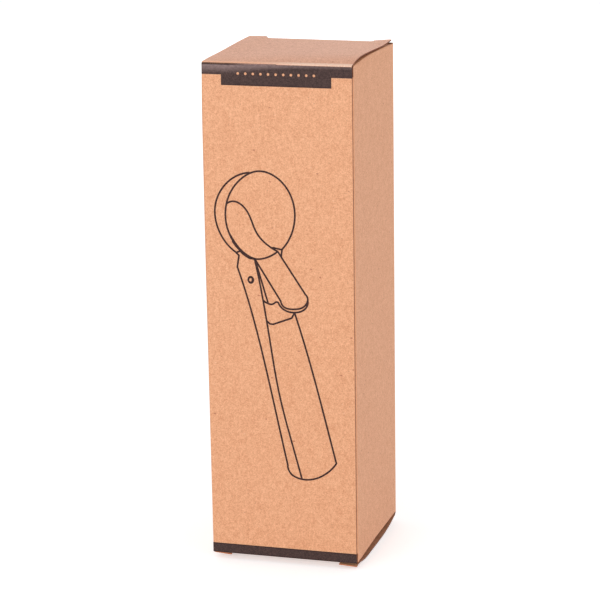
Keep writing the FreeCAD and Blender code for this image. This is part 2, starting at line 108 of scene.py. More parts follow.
# The raw edges that the tongues tuck behind: the radius of their corners, the least width of the lip, how far
# round the upright folds they are shaped and run on, and how far the seam's own raw edge is crushed.
FOOT_CORNER = 0.9
TOP_CORNER = 0.2
LEAST_LIP = 0.1
RIM_REACH = 1.01 * CORNER_RADIUS
LIP_REACH = 0.7 * CORNER_RADIUS
RAW_EDGE_CRUSH = 0.1

# The glue flap behind the seam and the dust flaps.
GLUE_FOLD_RADIUS = 0.2
GLUE_FLAP_WIDTH = 14.0
GLUE_FLAP_MARGIN = 4.0
GLUE_FLAP_TAPER = 5.0
DUST_FLAP_LENGTH = 24.0
DUST_FLAP_HINGE_INSET = 1.2
DUST_FLAP_TUCK_INSET = 2.6
DUST_FLAP_TAPER = 2.5
DUST_FLAP_CORNER = 4.0
DUST_FOLD_RADIUS = 0.45

# The lids' creases, tuck folds, tongues and lock slits.
CREASE_STEPS = 6
CREASE_CUTS = 16
FOLD_RADIUS = 0.6
FOLD_CUTS = 6
TONGUE_LENGTH = 14.0
TONGUE_LEAN = math.radians(7.5)
TONGUE_TAPER = 1.5
TONGUE_CORNER = 7.0
TONGUE_GAP = 1.0
TONGUE_HALF_WIDTH = HALF_WIDTH - BOARD - TONGUE_GAP
FOLD_TURN = math.pi / 2 + TONGUE_LEAN
SLIT_STEP = 1.2
EAR_CORNER_SEGMENTS = 4
EAR_FADE = 0.35
LID_STEP = 4.0
SLOPE_STEP = 0.01

# The print: its thickness, the top band's height beside its tab, and how far it runs on round the left fold
# and over the top crease.
INK = 0.04
TOP_BAND_DROP = 4.45
FOLD_PRINT_TURN = math.radians(80)
FOLD_PRINT_STEPS = 8
TOP_CREASE_INK = {-1: 0.3, 1: 0.15}

# How far the left fold is pinched in at the foot and at the top, and over which share of the height.
FOOT_PINCH = 0.45
FOOT_PINCH_SHARE = 0.6
TOP_PINCH = 0.3
TOP_PINCH_SHARE = 0.09

# How far the dust flaps spring up at the top, left and right. They are highest at a share of the half depth,
# and fall away before and behind it by a power of the distance. At the tip a share of the spring is left.
FLAP_SPRING = {-1: 0.42, 1: 1.08}
SPRING_MIDDLE = -0.15
SPRING_FRONT_POWER = 2
SPRING_REAR_POWER = 1.2
SPRING_TIP_SHARE = -0.3

# How the right side's foot runs from front to back, and the height over which this and the spring fade out.
FOOT_DROP = 0.15
FOOT_CLIMB = 0.95
FOOT_CLIMB_START = -30.0
FOOT_CLIMB_RUN = 32.0
END_ZONE = 6.0

# The lids. Lengths along a lid start at its crease, and its reach ends at the tuck fold. The pairs are for
# its left and right edges: the crown's and the tuck fold's height over the crease, an ear's corner radius,
# its height at its slit and at its outer corner, and where along the lid it starts to bend away.
LIDS = {
    "top_lid": dict(
        hinge=hinge("top_lid_hinge"), direction=1, shift=0.0, reach=64.05, crest_start=15.5,
        crest_end=18.5, fall=1.2, crown={-1: 0.3, 1: 1.85}, fold_rise={-1: 0.5, 1: 0.25}, ear_reach=1.2,
        slit_length=7.7, ear_corner={-1: 0.4, 1: 1.5}, ear_height={-1: (1.1, 1.0), 1: (0.52, 1.2)},
        ear_start={-1: 15.0, 1: 48.0}, ear_run={-1: 40.0, 1: 18.0}),
    "bottom_lid": dict(
        hinge=hinge("bottom_lid_hinge"), direction=-1, shift=0.2, reach=63.55, crest_start=26.0,
        crest_end=47.0, fall=2.0, crown={-1: 2.5, 1: 2.5}, fold_rise={-1: -0.1, 1: 0.05}, ear_reach=1.9,
        slit_length=7.8, ear_corner={-1: 1.0, 1: 0.4}, ear_height={-1: (0.5, -0.02), 1: (0.88, 1.3)},
        ear_start={-1: 61.0, 1: 61.0}, ear_run={-1: 4.2, 1: 4.2}),
}

# The drawing's heavier spots, placed from the drawing's own middle and foot. The thick part of the bowl's rim
# is an arc that swells outwards along part of its length. The rivet's pin is a ring with its hole off centre.
DRAWING_SHIFT = 0.3
DRAWING_FOOT = 35.3
HEAVY_INK_LIFT = 0.8 * INK
DRAWING_PLACE = Vector((DRAWING_SHIFT, -HALF_DEPTH - HEAVY_INK_LIFT, SLEEVE_LOW.z + DRAWING_FOOT))
BOWL_CENTRE = Vector((-4.82, 0, 110.35))
BOWL_RADIUS = 17.62
BOWL_START = math.radians(194)
BOWL_TURN = math.radians(56)
BOWL_LINE_HALF_WIDTH = 0.41
BOWL_LINE_LEAST = 0.05
BOWL_LINE_TAPER = 0.35
BOWL_SWELL = 0.3
BOWL_SWELL_SHIFT = 0.45
BOWL_SWELL_START = 0.4
BOWL_SWELL_RISE = 0.3
BOWL_SWELL_FALL = 0.12
BOWL_STEPS = 24
PIN_CENTRE = Vector((-12.7, 0, 84.8))
PIN_RADII = Vector((1.42, 0, 1.7))
PIN_HOLE_SHIFT = Vector((-0.17, 0, 0.05))
PIN_HOLE_RADII = Vector((0.52, 0, 0.85))
PIN_STEPS = 32


def near(first, second):
    """Whether two lengths are the same one."""
    return abs(first - second) < NEAR


def smooth_step(amount):
    """A soft change from 0 to 1."""
    share = min(1, max(0, amount))
    return share * share * (3 - 2 * share)


def new_verts(result):
    """The corners that an extrusion made."""
    return [item for item in result["geom"] if isinstance(item, bmesh.types.BMVert)]


def cut(bm, axis, place):
    """Cut a mesh along a plane across one axis."""
    point = Vector((0, 0, 0))
    point[axis] = place
    normal = Vector((0, 0, 0))
    normal[axis] = 1
    whole = bm.verts[:] + bm.edges[:] + bm.faces[:]
    bmesh.ops.bisect_plane(bm, geom=whole, plane_co=point, plane_no=normal, dist=CLOSE)


def cut_evenly(bm, axis, low, high, step):
    """Cut a mesh into even strips between two places."""
    count = max(1, round((high - low) / step))
    for number in range(1, count):
        cut(bm, axis, low + (high - low) * number / count)


def round_folds(bm, edges, radius):
    """Turn sharp folds into round ones."""
    bmesh.ops.bevel(bm, geom=edges, offset=radius, offset_type="OFFSET", affect="EDGES",
                    segments=FOLD_SEGMENTS, profile=0.5, material=-1)


def round_corners(bm, verts, radius, segments=CORNER_SEGMENTS):
    """Round the corners of a flat sheet."""
    bmesh.ops.bevel(bm, geom=verts, offset=radius, offset_type="OFFSET", affect="VERTICES",
                    segments=segments, profile=0.5, material=-1)


def turn_outwards(bm, axis, sign):
    """Turn a sheet over unless its faces look to one side of an axis."""
    bm.normal_update()
    if sum(face.normal[axis] for face in bm.faces) * sign < 0:
        bmesh.ops.reverse_faces(bm, faces=bm.faces[:])


def thicken(bm):
    """Give a sheet its thickness inwards: the inside takes the second material, the raw edges the third."""
    outside = set(bm.faces)
    shell = bmesh.ops.solidify(bm, geom=bm.faces[:], thickness=BOARD)["geom"]
    inside = {item for item in shell if isinstance(item, bmesh.types.BMFace)}
    for face in bm.faces:
        if face in inside:
            face.material_index = 1
        elif face not in outside:
            face.material_index = 2
    bm.normal_update()


def finish_piece(name, bm, materials, body=None):
    """Make an object of a mesh, in metres, with its place in the mesh."""
    bmesh.ops.scale(bm, vec=(MM, MM, MM), verts=bm.verts)
    mesh = bpy.data.meshes.new(name)
    bm.to_mesh(mesh)
    bm.free()
    for material in materials:
        mesh.materials.append(material)
    piece = bpy.data.objects.new(name, mesh)
    bpy.context.scene.collection.objects.link(piece)
    if body:
        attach(piece, body)
    return piece


def smooth(piece):
    """Shade a piece smooth, apart from its sharp edges."""
    mesh = piece.data
    for polygon in mesh.polygons:
        polygon.use_smooth = True
    mesh.set_sharp_from_angle(angle=SHARP_ANGLE)


def make_sleeve():
    """The four panels round the carton, the glue flap behind the seam and the four dust flaps."""
    bm = bmesh.new()
    stand_up_walls(bm)
    for level, turn in ((WALL_TOP, 1), (WALL_FOOT, -1)):
        hinge_end = turn * (-HALF_DEPTH + BOARD + DUST_FLAP_HINGE_INSET)
        tuck_end = turn * (HALF_DEPTH - BOARD - DUST_FLAP_TUCK_INSET)
        add_dust_flaps(bm, level, min(hinge_end, tuck_end), max(hinge_end, tuck_end))
    bm.normal_update()
    front = next(face for face in bm.faces if near(face.calc_center_median().y, -HALF_DEPTH))
    if front.normal.y > 0:
        bmesh.ops.reverse_faces(bm, faces=bm.faces[:])
    trim_glue_flap(bm)
    round_sleeve_folds(bm)
    for side in (-1, 1):
        cut(bm, 0, side * (HALF_WIDTH - FOOT_CORNER))
    add_raw_edge(bm, WALL_FOOT, -HALF_DEPTH, SLEEVE_LOW.z, FOOT_CORNER)
    add_raw_edge(bm, WALL_TOP, HALF_DEPTH, SLEEVE_HIGH.z, TOP_CORNER)

    cut_evenly(bm, 2, WALL_FOOT, WALL_TOP, PANEL_STEP)
    cut_evenly(bm, 1, -HALF_DEPTH, HALF_DEPTH, PANEL_STEP)
    cut_evenly(bm, 0, -HALF_WIDTH, HALF_WIDTH, PANEL_STEP)
    for vert in bm.verts:
        vert.co = settled(vert.co)
    thicken(bm)
    for vert in bm.verts:
        if near(vert.co.x, HALF_WIDTH - SEAM_SETBACK) and near(vert.co.y, -HALF_DEPTH):
            vert.co.x -= RAW_EDGE_CRUSH
    return bm


def stand_up_walls(bm):
    """The four panels and the glue flap, from the seam round to behind the seam."""
    flap_tip = HALF_WIDTH - BOARD - GLUE_FLAP_WIDTH
    plan = ((HALF_WIDTH - SEAM_SETBACK, -HALF_DEPTH), (-HALF_WIDTH, -HALF_DEPTH),
            (-HALF_WIDTH, HALF_DEPTH), (HALF_WIDTH, HALF_DEPTH),
            (HALF_WIDTH, SEAM_FRONT), (flap_tip, SEAM_FRONT))
    corners = [bm.verts.new((across, along, WALL_FOOT)) for across, along in plan]
    for start, end in zip(corners, corners[1:]):
        bm.edges.new((start, end))
    raised = new_verts(bmesh.ops.extrude_edge_only(bm, edges=bm.edges[:]))
    bmesh.ops.translate(bm, verts=raised, vec=(0, 0, WALL_TOP - WALL_FOOT))


def add_dust_flaps(bm, level, near_end, far_end):
    """Extend the side panels' ends into flaps that fold inwards."""
    for place in (near_end, far_end):
        cut(bm, 1, place)
    for side in (-1, 1):
        fold = [edge for edge in bm.edges if all(
            near(vert.co.x, side * HALF_WIDTH) and near(vert.co.z, level)
            and near_end - CLOSE < vert.co.y < far_end + CLOSE for vert in edge.verts)]
        tips = new_verts(bmesh.ops.extrude_edge_only(bm, edges=fold))
        middle = (near_end + far_end) / 2
        narrowing = 1 - 2 * DUST_FLAP_TAPER / (far_end - near_end)
        for vert in tips:
            vert.co.x = side * (HALF_WIDTH - DUST_FLAP_LENGTH)
            vert.co.y = middle + (vert.co.y - middle) * narrowing
        ends = [min(tips, key=lambda vert: vert.co.y), max(tips, key=lambda vert: vert.co.y)]
        bmesh.ops.dissolve_verts(bm, verts=[vert for vert in tips if vert not in ends])
        round_corners(bm, ends, DUST_FLAP_CORNER)


def glue_flap_faces(bm):
    """The faces of the glue flap."""
    return [face for face in bm.faces if near(face.calc_center_median().y, SEAM_FRONT)]


def trim_glue_flap(bm):
    """Cut the glue flap's two ends at a slope."""
    for level, turn in ((WALL_FOOT, 1), (WALL_TOP, -1)):
        faces = glue_flap_faces(bm)
        flap = faces + list(dict.fromkeys(item for face in faces for item in (*face.edges, *face.verts)))
        fold_point = Vector((HALF_WIDTH, SEAM_FRONT, level + turn * GLUE_FLAP_MARGIN))
        slope = Vector((-GLUE_FLAP_WIDTH, 0, turn * GLUE_FLAP_TAPER))
        outward = slope.cross(Vector((0, turn, 0)))
        bmesh.ops.bisect_plane(bm, geom=flap, plane_co=fold_point, plane_no=outward, dist=CLOSE)
        cut_off = [face for face in glue_flap_faces(bm)
                   if (face.calc_center_median() - fold_point).dot(outward) > 0]
        bmesh.ops.delete(bm, geom=cut_off, context="FACES")


def round_sleeve_folds(bm):
    """Round the upright folds, the tighter one at the seam, and the folds of the dust flaps."""
    upright = [edge for edge in bm.edges if near(edge.verts[0].co.x, edge.verts[1].co.x)
               and near(edge.verts[0].co.y, edge.verts[1].co.y) and len(edge.link_faces) == 2]
    open_corners = ((-1, -1), (-1, 1), (1, 1))
    seam_corner = ((1, -1),)
    for places, radius in ((open_corners, CORNER_RADIUS), (seam_corner, GLUE_FOLD_RADIUS)):
        folds = [edge for edge in upright if edge.is_valid and any(
            near(edge.verts[0].co.x, side * HALF_WIDTH)
            and abs(edge.verts[0].co.y - end * HALF_DEPTH) < 2 * BOARD for side, end in places)]
        round_folds(bm, folds, radius)
    for level in (WALL_FOOT, WALL_TOP):
        folds = [edge for edge in bm.edges if len(edge.link_faces) == 2 and all(
            near(vert.co.z, level) and near(abs(vert.co.x), HALF_WIDTH) for vert in edge.verts)]
        round_folds(bm, folds, DUST_FOLD_RADIUS)


def corner_ease(across, radius):
    """How far a raw edge's rounded corner lies back from the edge, at a place across the panel."""
    distance = max(0, abs(across) - HALF_WIDTH + radius)
    return radius - math.sqrt(max(0, radius * radius - distance * distance))


def add_raw_edge(bm, level, wall, edge, radius):
    """Run a wall on to the raw edge that the tongue tucks behind, with rounded corners."""
    outwards = 1 if edge > level else -1
    at_level = [vert for vert in bm.verts if near(vert.co.z, level)]
    rim_shade = {vert for vert in at_level if near(vert.co.y, wall)
           or abs(vert.co.y - wall) < RIM_REACH and abs(vert.co.x) > HALF_WIDTH - BOARD}
    lip = [item for item in bm.edges if all(
        vert in rim_shade and abs(vert.co.y - wall) < LIP_REACH for vert in item.verts)]
    for vert in rim_shade:
        vert.co.z -= outwards * max(0, corner_ease(vert.co.x, radius) + LEAST_LIP - CREASE_ROOM)
    for vert in new_verts(bmesh.ops.extrude_edge_only(bm, edges=lip)):
        vert.co.z = edge - outwards * corner_ease(vert.co.x, radius)


def settled(point):
    """Where a point of the squared-up sleeve lies on the real one, with its slack and its sprung flaps."""
    across, along, up = point
    rise = (up - WALL_FOOT) / (WALL_TOP - WALL_FOOT)
    if across < 0:
        pinch = FOOT_PINCH * max(0, 1 - rise / FOOT_PINCH_SHARE)
        pinch += TOP_PINCH * max(0, 1 - (1 - rise) / TOP_PINCH_SHARE)
        across *= 1 - min(pinch, FOOT_PINCH) / HALF_WIDTH
    inner = abs(point.x) < HALF_WIDTH - 2 * BOARD
    if inner and abs(along) > HALF_DEPTH - 2 * BOARD or point.x > 0 and near(along, -HALF_DEPTH):
        return Vector((across, along, up))
    side = 1 if point.x > 0 else -1
    lift = flap_spring(side, abs(point.x), along) * smooth_step(1 - (WALL_TOP - up) / END_ZONE)
    if side > 0:
        lift += foot_climb(along) * smooth_step(1 - (up - WALL_FOOT) / END_ZONE)
    return Vector((across, along, up + lift))


def flap_spring(side, outwards, along):
    """How far a side's top edge and its dust flap have sprung up at a place."""
    beyond = along / HALF_DEPTH - SPRING_MIDDLE
    span = 1 - SPRING_MIDDLE if beyond > 0 else 1 + SPRING_MIDDLE
    power = SPRING_REAR_POWER if beyond > 0 else SPRING_FRONT_POWER
    spring = FLAP_SPRING[side] * (1 - min(1, abs(beyond) / span) ** power)
    tip_share = (HALF_WIDTH - outwards) / DUST_FLAP_LENGTH
    return spring * (1 - (1 - SPRING_TIP_SHARE) * min(1, tip_share))


def foot_climb(along):
    """How far the right side's foot lies above its level; at the rear corner it meets the back panel's."""
    climb = FOOT_CLIMB * smooth_step((along - FOOT_CLIMB_START) / FOOT_CLIMB_RUN) - FOOT_DROP
    return climb * smooth_step((HALF_DEPTH - along) / CORNER_RADIUS)


def between(pair, across):
    """A size that changes evenly from a lid's left edge to its right edge."""
    share = across / LID_HALF_WIDTH / 2 + 0.5
    return pair[-1] * (1 - share) + pair[1] * share


def arc_drop(distance, run, drop):
    """Fall of a shallow arc at a distance from its crown, where it falls by drop over run."""
    radius = (run * run + drop * drop) / (2 * drop)
    return radius - math.sqrt(radius * radius - distance * distance)


def bow(lid, across, along):
    """Height of a lid's panel over its crease, at the middle of the board."""
    crown = between(lid["crown"], across)
    if along < lid["crest_start"]:
        return crown - arc_drop(lid["crest_start"] - along, lid["crest_start"], crown)
    if along <= lid["crest_end"]:
        return crown
    share = (along - lid["crest_end"]) / (lid["reach"] - lid["crest_end"])
    return crown - (crown - between(lid["fold_rise"], across)) * min(1, share) ** lid["fall"]


def ear_lift(lid, across, along, neck):
    """How far a lid's corner has bent away from its panel, on the way from the panel to its ear."""
    side = 1 if across > 0 else -1
    at_slit, at_corner = lid["ear_height"][side]
    outer_share = max(0, abs(across) - neck) / (LID_HALF_WIDTH - neck)
    height = at_slit + (at_corner - at_slit) * outer_share - between(lid["fold_rise"], across)
    fade = SLIT_STEP + EAR_FADE * max(0, lid["reach"] - along)
    inwards = min(1, max(0, neck - abs(across)) / fade)
    return height * (1 - inwards) * smooth_step((along - lid["ear_start"][side]) / lid["ear_run"][side])


def outer_point(lid, across, along):
    """The outer face of the folded lid at a distance along its blank: place along the lid and height."""
    beyond = along - lid["reach"]
    if beyond <= 0:
        rise = bow(lid, across, along + SLOPE_STEP / 2) - bow(lid, across, along - SLOPE_STEP / 2)
        slope = math.atan2(rise, SLOPE_STEP)
        height = bow(lid, across, along) + BOARD / 2 * math.cos(slope)
        return along - BOARD / 2 * math.sin(slope), height
    turn = min(beyond / FOLD_RADIUS, FOLD_TURN)
    straight = beyond - turn * FOLD_RADIUS
    radius = FOLD_RADIUS + BOARD / 2
    fold_height = between(lid["fold_rise"], across) - FOLD_RADIUS
    return (lid["reach"] + radius * math.sin(turn) + straight * math.cos(turn),
            fold_height + radius * math.cos(turn) - straight * math.sin(turn))


def crease_slope(lid, across):
    """How steeply the lid leaves its rounded crease."""
    return math.atan2(bow(lid, across, CREASE_ROOM), CREASE_ROOM)


def at_hinge(lid, across, place, height):
    """A point of a lid on the carton, from its place along the lid and its height over the crease."""
    direction = lid["direction"]
    return lid["hinge"] + Vector((across + lid["shift"], direction * place, direction * height))


def cut_blank(lid, neck, slit):
    """A lid's flat blank: the panel, the tongue, and the ears beyond the lock slits."""
    tongue_tip = lid["reach"] + FOLD_RADIUS * FOLD_TURN + TONGUE_LENGTH
    bm = bmesh.new()
    bmesh.ops.create_grid(bm, x_segments=1, y_segments=1, size=1)
    for vert in bm.verts:
        vert.co.x *= LID_HALF_WIDTH
        vert.co.y = CREASE_ROOM if vert.co.y < 0 else tongue_tip
    cut(bm, 1, slit)
    cut(bm, 1, lid["reach"])
    tips = [vert for vert in bm.verts if near(vert.co.y, tongue_tip)]
    for vert in tips:
        vert.co.x *= (TONGUE_HALF_WIDTH - TONGUE_TAPER) / LID_HALF_WIDTH
    round_corners(bm, tips, TONGUE_CORNER)

    for side in (-1, 1):
        cut(bm, 0, side * neck)
        cut(bm, 0, side * (neck - SLIT_STEP))
    bmesh.ops.split_edges(bm, edges=[edge for edge in bm.edges if is_slit(lid, neck, slit, edge)])
    ends = [vert for vert in bm.verts if near(vert.co.y, slit) and near(abs(vert.co.x), LID_HALF_WIDTH)]
    for vert in ends:
        if all(face.calc_center_median().y > slit for face in vert.link_faces):
            vert.co.x *= TONGUE_HALF_WIDTH / LID_HALF_WIDTH
    for side, radius in lid["ear_corner"].items():
        corner = [vert for vert in bm.verts
                  if near(vert.co.y, slit) and near(vert.co.x, side * LID_HALF_WIDTH)]
        round_corners(bm, corner, radius, EAR_CORNER_SEGMENTS)

    cut_evenly(bm, 1, CREASE_ROOM, lid["reach"], LID_STEP)
    for number in range(1, FOLD_CUTS):
        cut(bm, 1, lid["reach"] + FOLD_RADIUS * FOLD_TURN * number / FOLD_CUTS)
    cut_evenly(bm, 1, slit + FOLD_RADIUS, tongue_tip, LID_STEP)
    for side in (-1, 1):
        cut(bm, 0, side * (neck + LID_HALF_WIDTH) / 2)
    cut_evenly(bm, 0, SLIT_STEP - neck, neck - SLIT_STEP, LID_STEP)
    return bm


def is_slit(lid, neck, slit, edge):
    """Whether an edge of the blank lies along a lock slit, up its inner end, or on its short way inwards."""
    def all_within(test):
        return all(test(abs(vert.co.x), vert.co.y) for vert in edge.verts)
    return (all_within(lambda out, along: near(along, slit) and out > neck - CLOSE)
            or all_within(lambda out, along: near(out, neck) and lid["reach"] - CLOSE < along < slit + CLOSE)
            or all_within(lambda out, along: near(along, lid["reach"])
                          and neck - SLIT_STEP - CLOSE < out < neck + CLOSE))


def make_lid(name):
    """A bowed lid, cut as a flat blank and then folded."""
    lid = LIDS[name]
    neck = LID_HALF_WIDTH - lid["slit_length"]
    slit = lid["reach"] + lid["ear_reach"]
    bm = cut_blank(lid, neck, slit)
    panel = set()
    for face in bm.faces:
        across, along = face.calc_center_median().xy
        if along < lid["reach"] or abs(across) > neck and along < slit:
            panel.update(face.verts)

    for vert in bm.verts:
        across, along = vert.co.x, vert.co.y
        if near(along, CREASE_ROOM):
            along = CREASE_ROOM * math.cos(crease_slope(lid, across))
        on_panel = min(along, lid["reach"]) if vert in panel else along
        place, height = outer_point(lid, across, on_panel)
        if vert in panel:
            place += along - on_panel
            height += ear_lift(lid, across, along, neck)
        vert.co = at_hinge(lid, across, place, height)
    turn_outwards(bm, 2, lid["direction"])
    thicken(bm)
    return bm


def make_crease(name):
    """The rounded fold between a panel and its lid, and the two ends of the fold, in metres."""
    lid = LIDS[name]
    bm = bmesh.new()
    bmesh.ops.create_grid(bm, x_segments=CREASE_CUTS, y_segments=CREASE_STEPS, size=1)
    for vert in bm.verts:
        across = vert.co.x * LID_HALF_WIDTH
        turn = math.pi / 2 - crease_slope(lid, across)
        radius = CREASE_ROOM / math.tan(turn / 2)
        angle = (vert.co.y + 1) / 2 * turn
        place = radius - (radius + BOARD / 2) * math.cos(angle)
        height = (radius + BOARD / 2) * math.sin(angle) - CREASE_ROOM
        vert.co = at_hinge(lid, across, place, height)
    turn_outwards(bm, 1, -lid["direction"])
    inked = [face for face in bm.faces if 0 < face.calc_center_median().z - WALL_TOP
             < between(TOP_CREASE_INK, face.calc_center_median().x)]
    thicken(bm)
    for face in inked:
        face.material_index = 3
    start = lid["hinge"] - Vector((0, 0, lid["direction"] * CREASE_ROOM))
    end = lid["hinge"] + Vector((0, lid["direction"] * CREASE_ROOM, 0))
    return bm, start * MM, end * MM


def make_fold_print(low, high):
    """The part of a printed band that runs on round the left fold, between two heights."""
    bm = bmesh.new()
    bmesh.ops.create_grid(bm, x_segments=FOLD_PRINT_STEPS, y_segments=1, size=1)
    radius = CORNER_RADIUS + INK / 2
    for vert in bm.verts:
        angle = (vert.co.x + 1) / 2 * FOLD_PRINT_TURN
        across = -HALF_WIDTH + CORNER_RADIUS - radius * math.sin(angle)
        along = -HALF_DEPTH + CORNER_RADIUS - radius * math.cos(angle)
        foot = low + corner_ease(across, FOOT_CORNER) if low < WALL_FOOT else low
        vert.co = settled(Vector((across, along, high if vert.co.y > 0 else foot)))
    turn_outwards(bm, 1, -1)
    bmesh.ops.solidify(bm, geom=bm.faces[:], thickness=INK / 2)
    return bm


def make_heavy_ink():
    """The heavier spots of the drawing: the thick part of the bowl's rim and the rivet's pin."""
    bm = bmesh.new()
    bmesh.ops.create_grid(bm, x_segments=BOWL_STEPS, y_segments=1, size=1)
    for vert in bm.verts:
        share = (vert.co.x + 1) / 2
        swell = smooth_step((share - BOWL_SWELL_START) / BOWL_SWELL_RISE)
        swell *= smooth_step((1 - share) / BOWL_SWELL_FALL)
        half_width = BOWL_LINE_HALF_WIDTH * smooth_step(share / BOWL_LINE_TAPER) + BOWL_SWELL * swell
        reach = BOWL_RADIUS + BOWL_SWELL_SHIFT * swell + vert.co.y * max(half_width, BOWL_LINE_LEAST)
        angle = BOWL_START + BOWL_TURN * share
        vert.co = BOWL_CENTRE + Vector((reach * math.cos(angle), 0, reach * math.sin(angle)))

    outer = bmesh.ops.create_circle(bm, segments=PIN_STEPS, radius=1)["verts"]
    edges = list(dict.fromkeys(edge for vert in outer for edge in vert.link_edges))
    inner = new_verts(bmesh.ops.extrude_edge_only(bm, edges=edges))
    hole_centre = PIN_CENTRE + PIN_HOLE_SHIFT
    for ring, centre, radii in ((outer, PIN_CENTRE, PIN_RADII), (inner, hole_centre, PIN_HOLE_RADII)):
        for vert in ring:
            vert.co = centre + Vector((vert.co.x * radii.x, 0, vert.co.y * radii.z))
    bmesh.ops.translate(bm, verts=bm.verts, vec=DRAWING_PLACE)
    bm.normal_update()
    bmesh.ops.reverse_faces(bm, faces=[face for face in bm.faces if face.normal.y > 0])
    bmesh.ops.solidify(bm, geom=bm.faces[:], thickness=INK / 2)
    return bm


class Amount:
    """A number or colour on a surface; arithmetic on numbers adds Math nodes."""

    def __init__(self, nodes, socket):
        self.nodes = nodes
        self.socket = socket

    def maths(self, operation, first, second):
        """One step of arithmetic, as a Math node."""
        return self.nodes.node("ShaderNodeMath", {"operation": operation}, {0: first, 1: second})

    def __add__(self, other):
        return self.maths("ADD", self, other)

    def __sub__(self, other):
        return self.maths("SUBTRACT", self, other)

    def __rsub__(self, other):
        return self.maths("SUBTRACT", other, self)

    def __mul__(self, other):
        return self.maths("MULTIPLY", self, other)

    def __abs__(self):
        return self.maths("ABSOLUTE", self, 0)

    __radd__ = __add__
    __rmul__ = __mul__


class Nodes:
    """The nodes of a material or of the room."""

    def __init__(self, tree):
        self.tree = tree

    def link(self, amount, socket):
        """Feed an amount into a socket."""
        self.tree.links.new(amount.socket, socket)

    def node(self, kind, settings=None, inputs=None, output=0):
        """Add a node with its settings and its sockets' values or links, and give one of its outputs."""
        made = self.tree.nodes.new(kind)
        for name, setting in (settings or {}).items():
            setattr(made, name, setting)
        for name, given in (inputs or {}).items():
            if isinstance(given, Amount):
                self.link(given, made.inputs[name])
            else:
                made.inputs[name].default_value = given
        return Amount(self, made.outputs[output])

    def seen_directly(self):
        """1 where the camera, a reflection or a clear material looks at a surface, and 0 elsewhere."""
        seen = self.node("ShaderNodeLightPath", output="Is Camera Ray")
        for name in ("Is Glossy Ray", "Is Transmission Ray"):
            seen = seen.maths("MAXIMUM", seen, self.node("ShaderNodeLightPath", output=name))
        return seen


SOCKETS = {"roughness": "Roughness", "specular": "Specular IOR Level", "colour": "Base Color",
           "glow": "Emission Color"}
# The edge of a fleck is soft from its full size down to this share of it.
FLECK_CORE = 0.4


class Finish(Nodes):
    """One material, made of nodes around a single surface shader."""

    def __init__(self, name, **constants):
        self.material = bpy.data.materials.new(name)
        self.material.use_nodes = True
        super().__init__(self.material.node_tree)
        self.surface = next(node for node in self.tree.nodes if node.type == "BSDF_PRINCIPLED")
        for socket, constant in constants.items():
            self.surface.inputs[SOCKETS[socket]].default_value = constant
        place = self.node("ShaderNodeTexCoord", output="Object")
        self.place = self.node("ShaderNodeMapping", inputs={"Vector": place, "Scale": (1 / MM,) * 3})

    def feed(self, socket, amount):
        """Feed an amount into the surface shader."""
        self.link(amount, self.surface.inputs[socket])

    def along(self, axis):
        """The place along one axis of the frame, in millimetres."""
        return self.node("ShaderNodeSeparateXYZ", inputs={"Vector": self.place}, output=axis)

    def stretched(self, scale, place=(0, 0, 0)):
        """The place on the surface with its scale changed along each axis, and moved."""
        return self.node("ShaderNodeMapping", inputs={
            "Vector": self.place, "Scale": scale, "Location": place})

    def noise(self, size, detail, roughness=0.5, vector=None):
        """A cloudy pattern from 0 to 1, with features of a size in millimetres."""
        return self.node("ShaderNodeTexNoise", inputs={
            "Vector": vector or self.place, "Scale": 1 / size, "Detail": detail, "Roughness": roughness})

    def ramp(self, amount, start, end, first=0.0, last=1.0):
        """A soft change from first, where the amount is start, to last, where it is end."""
        return self.node("ShaderNodeMapRange", {"interpolation_type": "SMOOTHSTEP"}, {
            "Value": amount, "From Min": start, "From Max": end, "To Min": first, "To Max": last})

    def close_to(self, amount, level, start, end):
        """0 where the amount is short of a level by start, changing to 1 where it is short of it by end."""
        return self.ramp(amount, level - start, level - end)

    def spots(self, spacing, size, share, vector=None):
        """Small round flecks: 1 inside and 0 outside; share is the part of the cells that have one."""
        inputs = {"Vector": vector or self.place, "Scale": 1 / spacing}
        distance = self.node("ShaderNodeTexVoronoi", {"feature": "F1"}, inputs, "Distance")
        colour = self.node("ShaderNodeTexVoronoi", {"feature": "F1"}, inputs, "Color")
        chance = self.node("ShaderNodeSeparateColor", inputs={"Color": colour}, output="Red")
        chosen = chance.maths("LESS_THAN", chance, share)
        return self.ramp(distance, start=size / spacing, end=FLECK_CORE * size / spacing) * chosen

    def mix(self, amount, first, second):
        """The first colour where the amount is 0 and the second where it is 1."""
        return self.node("ShaderNodeMix", {"data_type": "RGBA"}, {0: amount, 6: first, 7: second}, 2)

    def bump(self, height, depth, strength):
        """Raise the surface by a pattern, with a depth in millimetres."""
        self.feed("Normal", self.node("ShaderNodeBump", inputs={
            "Height": height, "Distance": depth * MM, "Strength": strength}))


def paint(red, green, blue):
    """A colour given on the usual scale of 0 to 255."""
    def straight(level):
        share = level / 255
        return share / 12.92 if share <= 0.04045 else ((share + 0.055) / 1.055) ** 2.4
    return (*(straight(level) for level in (red, green, blue)), 1.0)


def mixed(first, second, share):
    """A share of one pattern, and the rest of another."""
    return first * share + second * (1 - share)


# A pair of colours is a finish's dark and light end, and a tone is the part of a pattern between the two.
# The board's outer face on the panels and on the lids, with the shares of its patterns and its flecks.
KRAFT = paint(209, 138, 95), paint(250, 190, 147)
# The lids' colours are the same board's with a painted sheen: paler and less saturated than the panels'.
LID_KRAFT_WITH_SHEEN = paint(202, 132, 100), paint(252, 192, 156)
TONE = (0.3, 0.7)
CLOUD_SHARE = 0.06
MOTTLE_SHARE = 0.28
GRAIN_SHARE = 0.56
FIBRE_SHARE = 0.1
FLECK_DARK = paint(168, 112, 78)
DARK_FLECK_STRENGTH = 0.5
FLECK_LIGHT = paint(255, 216, 180)
LIGHT_FLECK_STRENGTH = 0.4
FIBRE_RED = paint(176, 96, 64)
RED_FIBRE_STRENGTH = 0.7
